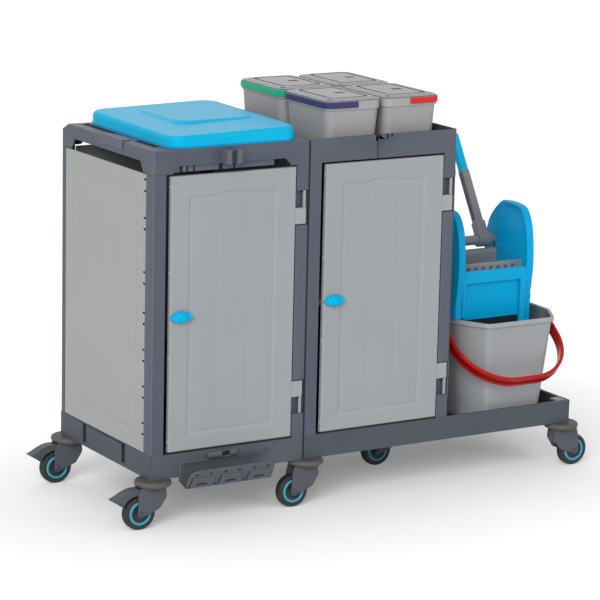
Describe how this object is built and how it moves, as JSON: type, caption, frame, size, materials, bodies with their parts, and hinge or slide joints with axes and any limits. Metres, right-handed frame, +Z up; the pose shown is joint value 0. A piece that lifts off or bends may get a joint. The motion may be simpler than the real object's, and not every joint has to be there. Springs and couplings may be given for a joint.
{
  "type": "janitor cart",
  "caption": "Housekeeping cart with twin door cabinets, waste lid, small buckets in a top tray and a mop bucket with lever wringer on a caster base.",
  "frame": {"origin": "centre of the plan outline, on the floor under the wheels", "axes": "+X along the cart's length towards the mop bucket, +Y from the door front to the back, +Z up"},
  "size_m": [1.692, 0.6888, 1.2154],
  "materials": {
    "slate_plastic": "moulded, satin",
    "grey_plastic": "moulded, satin",
    "warm_plastic": "moulded, satin",
    "blue_plastic": "moulded, gloss",
    "zinc_steel": "zinc plated",
    "lever_plastic": "moulded, satin",
    "red_plastic": "moulded, gloss",
    "navy_plastic": "moulded, gloss",
    "green_plastic": "moulded, gloss",
    "yellow_plastic": "moulded, gloss",
    "black_plastic": "moulded, satin",
    "tyre_rubber": "smooth tread"
  },
  "bodies": {
    "frame": {"left_base": "slate_plastic", "right_base": "slate_plastic", "cabinet_posts": "slate_plastic", "left_top_frame": "slate_plastic", "right_top_tray": "slate_plastic", "side_panels": "grey_plastic", "back_panels": "grey_plastic", "cabinet_shelf": "grey_plastic", "bag_ring": "blue_plastic", "tool_cradle": "slate_plastic", "tool_clips": "slate_plastic", "caster_bumpers": "warm_plastic", "caster_stems": "zinc_steel"},
    "lid": {"lid": "blue_plastic"},
    "left_door": {"left_door": "grey_plastic"},
    "right_door": {"right_door": "grey_plastic"},
    "left_latch": {"left_latch": "blue_plastic"},
    "right_latch": {"right_latch": "blue_plastic"},
    "bucket_front_left": {"bucket_front_left": "warm_plastic"},
    "bucket_lid_front_left": {"bucket_lid_front_left": "warm_plastic"},
    "bucket_bail_front_left": {"bucket_bail_front_left": "navy_plastic"},
    "bucket_front_right": {"bucket_front_right": "warm_plastic"},
    "bucket_lid_front_right": {"bucket_lid_front_right": "warm_plastic"},
    "bucket_bail_front_right": {"bucket_bail_front_right": "red_plastic"},
    "bucket_rear_left": {"bucket_rear_left": "warm_plastic"},
    "bucket_lid_rear_left": {"bucket_lid_rear_left": "warm_plastic"},
    "bucket_bail_rear_left": {"bucket_bail_rear_left": "green_plastic"},
    "bucket_rear_right": {"bucket_rear_right": "warm_plastic"},
    "bucket_lid_rear_right": {"bucket_lid_rear_right": "warm_plastic"},
    "bucket_bail_rear_right": {"bucket_bail_rear_right": "yellow_plastic"},
    "mop_bucket": {"mop_bucket": "grey_plastic"},
    "mop_bail": {"mop_bail": "red_plastic"},
    "wringer": {"wringer_body": "blue_plastic", "front_jaw": "lever_plastic"},
    "lever": {"wringer_lever": "lever_plastic", "lever_grip": "blue_plastic"},
    "press_jaw": {"press_jaw": "lever_plastic"},
    "caster_front_left": {"fork_front_left": "black_plastic"},
    "wheel_front_left": {"hub_front_left": "black_plastic", "tyre_front_left": "tyre_rubber"},
    "brake_pedal_front_left": {"brake_pedal_front_left": "black_plastic"},
    "caster_rear_left": {"fork_rear_left": "black_plastic"},
    "wheel_rear_left": {"hub_rear_left": "black_plastic", "tyre_rear_left": "tyre_rubber"},
    "brake_pedal_rear_left": {"brake_pedal_rear_left": "black_plastic"},
    "caster_front_middle": {"fork_front_middle": "black_plastic"},
    "wheel_front_middle": {"hub_front_middle": "black_plastic", "tyre_front_middle": "tyre_rubber"},
    "caster_rear_middle": {"fork_rear_middle": "black_plastic"},
    "wheel_rear_middle": {"hub_rear_middle": "black_plastic", "tyre_rear_middle": "tyre_rubber"},
    "caster_centre": {"fork_centre": "black_plastic"},
    "wheel_centre": {"hub_centre": "black_plastic", "tyre_centre": "tyre_rubber"},
    "caster_front_right": {"fork_front_right": "black_plastic"},
    "wheel_front_right": {"hub_front_right": "black_plastic", "tyre_front_right": "tyre_rubber"},
    "caster_rear_right": {"fork_rear_right": "black_plastic"},
    "wheel_rear_right": {"hub_rear_right": "black_plastic", "tyre_rear_right": "tyre_rubber"}
  },
  "joints": [
    {"name": "left_door_hinge", "type": "hinge", "parent": "frame", "child": "left_door", "pos_m": [-0.2246, -0.2655, 0.62], "axis": [0, 0, 1], "range_deg": [0, 110]},
    {"name": "right_door_hinge", "type": "hinge", "parent": "frame", "child": "right_door", "pos_m": [0.2914, -0.2655, 0.62], "axis": [0, 0, 1], "range_deg": [0, 110]},
    {"name": "left_latch_turn", "type": "hinge", "parent": "left_door", "child": "left_latch", "pos_m": [-0.636, -0.2825, 0.623], "axis": [0, -1, 0], "range_deg": [0, 90]},
    {"name": "right_latch_turn", "type": "hinge", "parent": "right_door", "child": "right_latch", "pos_m": [-0.12, -0.2825, 0.623], "axis": [0, -1, 0], "range_deg": [0, 90]},
    {"name": "lid_hinge", "type": "hinge", "parent": "frame", "child": "lid", "pos_m": [-0.456, 0.2735, 1.124], "axis": [-1, 0, 0], "range_deg": [0, 100]},
    {"name": "bucket_front_left_lift", "type": "slide", "parent": "frame", "child": "bucket_front_left", "axis": [0, 0, 1], "range_m": [0, 0.15]},
    {"name": "bucket_lid_front_left_lift", "type": "slide", "parent": "bucket_front_left", "child": "bucket_lid_front_left", "axis": [0, 0, 1], "range_m": [0, 0.05]},
    {"name": "bucket_bail_front_left_swing", "type": "hinge", "parent": "bucket_front_left", "child": "bucket_bail_front_left", "pos_m": [-0.0378, -0.109, 1.1982], "axis": [0, 1, 0], "range_deg": [0, 110]},
    {"name": "bucket_front_right_lift", "type": "slide", "parent": "frame", "child": "bucket_front_right", "axis": [0, 0, 1], "range_m": [0, 0.15]},
    {"name": "bucket_lid_front_right_lift", "type": "slide", "parent": "bucket_front_right", "child": "bucket_lid_front_right", "axis": [0, 0, 1], "range_m": [0, 0.05]},
    {"name": "bucket_bail_front_right_swing", "type": "hinge", "parent": "bucket_front_right", "child": "bucket_bail_front_right", "pos_m": [0.1652, -0.109, 1.1982], "axis": [0, -1, 0], "range_deg": [0, 110]},
    {"name": "bucket_rear_left_lift", "type": "slide", "parent": "frame", "child": "bucket_rear_left", "axis": [0, 0, 1], "range_m": [0, 0.15]},
    {"name": "bucket_lid_rear_left_lift", "type": "slide", "parent": "bucket_rear_left", "child": "bucket_lid_rear_left", "axis": [0, 0, 1], "range_m": [0, 0.05]},
    {"name": "bucket_bail_rear_left_swing", "type": "hinge", "parent": "bucket_rear_left", "child": "bucket_bail_rear_left", "pos_m": [-0.0378, 0.16, 1.1982], "axis": [0, 1, 0], "range_deg": [0, 110]},
    {"name": "bucket_rear_right_lift", "type": "slide", "parent": "frame", "child": "bucket_rear_right", "axis": [0, 0, 1], "range_m": [0, 0.15]},
    {"name": "bucket_lid_rear_right_lift", "type": "slide", "parent": "bucket_rear_right", "child": "bucket_lid_rear_right", "axis": [0, 0, 1], "range_m": [0, 0.05]},
    {"name": "bucket_bail_rear_right_swing", "type": "hinge", "parent": "bucket_rear_right", "child": "bucket_bail_rear_right", "pos_m": [0.1652, 0.16, 1.1982], "axis": [0, -1, 0], "range_deg": [0, 110]},
    {"name": "mop_bucket_lift", "type": "slide", "parent": "frame", "child": "mop_bucket", "axis": [0, 0, 1], "range_m": [0, 0.15]},
    {"name": "mop_bail_swing", "type": "hinge", "parent": "mop_bucket", "child": "mop_bail", "pos_m": [0.576, -0.0915, 0.4722], "axis": [-1, 0, 0], "range_deg": [0, 80]},
    {"name": "wringer_lift", "type": "slide", "parent": "mop_bucket", "child": "wringer", "axis": [0, 0, 1], "range_m": [0, 0.12]},
    {"name": "lever_pull", "type": "hinge", "parent": "wringer", "child": "lever", "pos_m": [0.531, 0.0275, 0.6904], "axis": [1, 0, 0], "range_deg": [0, 75]},
    {"name": "jaw_press", "type": "slide", "parent": "wringer", "child": "press_jaw", "axis": [0, -1, 0], "range_m": [0, 0.11]},
    {"name": "swivel_front_left", "type": "hinge", "parent": "frame", "child": "caster_front_left", "pos_m": [-0.71, -0.2545, 0.12], "axis": [0, 0, 1], "continuous": true},
    {"name": "spin_front_left", "type": "hinge", "parent": "caster_front_left", "child": "wheel_front_left", "pos_m": [-0.756, -0.2545, 0.05], "axis": [0, 1, 0], "continuous": true},
    {"name": "brake_front_left", "type": "hinge", "parent": "caster_front_left", "child": "brake_pedal_front_left", "pos_m": [-0.748, -0.2545, 0.1117], "axis": [0, -1, 0], "range_deg": [0, 10]},
    {"name": "swivel_rear_left", "type": "hinge", "parent": "frame", "child": "caster_rear_left", "pos_m": [-0.71, 0.2895, 0.12], "axis": [0, 0, 1], "continuous": true},
    {"name": "spin_rear_left", "type": "hinge", "parent": "caster_rear_left", "child": "wheel_rear_left", "pos_m": [-0.756, 0.2895, 0.05], "axis": [0, 1, 0], "continuous": true},
    {"name": "brake_rear_left", "type": "hinge", "parent": "caster_rear_left", "child": "brake_pedal_rear_left", "pos_m": [-0.748, 0.2895, 0.1117], "axis": [0, -1, 0], "range_deg": [0, 10]},
    {"name": "swivel_front_middle", "type": "hinge", "parent": "frame", "child": "caster_front_middle", "pos_m": [-0.194, -0.2545, 0.12], "axis": [0, 0, 1], "continuous": true},
    {"name": "spin_front_middle", "type": "hinge", "parent": "caster_front_middle", "child": "wheel_front_middle", "pos_m": [-0.24, -0.2545, 0.05], "axis": [0, 1, 0], "continuous": true},
    {"name": "swivel_rear_middle", "type": "hinge", "parent": "frame", "child": "caster_rear_middle", "pos_m": [-0.194, 0.2895, 0.12], "axis": [0, 0, 1], "continuous": true},
    {"name": "spin_rear_middle", "type": "hinge", "parent": "caster_rear_middle", "child": "wheel_rear_middle", "pos_m": [-0.24, 0.2895, 0.05], "axis": [0, 1, 0], "continuous": true},
    {"name": "swivel_centre", "type": "hinge", "parent": "frame", "child": "caster_centre", "pos_m": [0.278, 0.0175, 0.12], "axis": [0, 0, 1], "continuous": true},
    {"name": "spin_centre", "type": "hinge", "parent": "caster_centre", "child": "wheel_centre", "pos_m": [0.232, 0.0175, 0.05], "axis": [0, 1, 0], "continuous": true},
    {"name": "swivel_front_right", "type": "hinge", "parent": "frame", "child": "caster_front_right", "pos_m": [0.75, -0.2545, 0.12], "axis": [0, 0, 1], "continuous": true},
    {"name": "spin_front_right", "type": "hinge", "parent": "caster_front_right", "child": "wheel_front_right", "pos_m": [0.796, -0.2545, 0.05], "axis": [0, 1, 0], "continuous": true},
    {"name": "swivel_rear_right", "type": "hinge", "parent": "frame", "child": "caster_rear_right", "pos_m": [0.75, 0.2895, 0.12], "axis": [0, 0, 1], "continuous": true},
    {"name": "spin_rear_right", "type": "hinge", "parent": "caster_rear_right", "child": "wheel_rear_right", "pos_m": [0.796, 0.2895, 0.05], "axis": [0, 1, 0], "continuous": true}
  ],
  "couplings": [
    {"joint": "jaw_press", "follows": "lever_pull", "m_per_rad": 0.08}
  ]
}
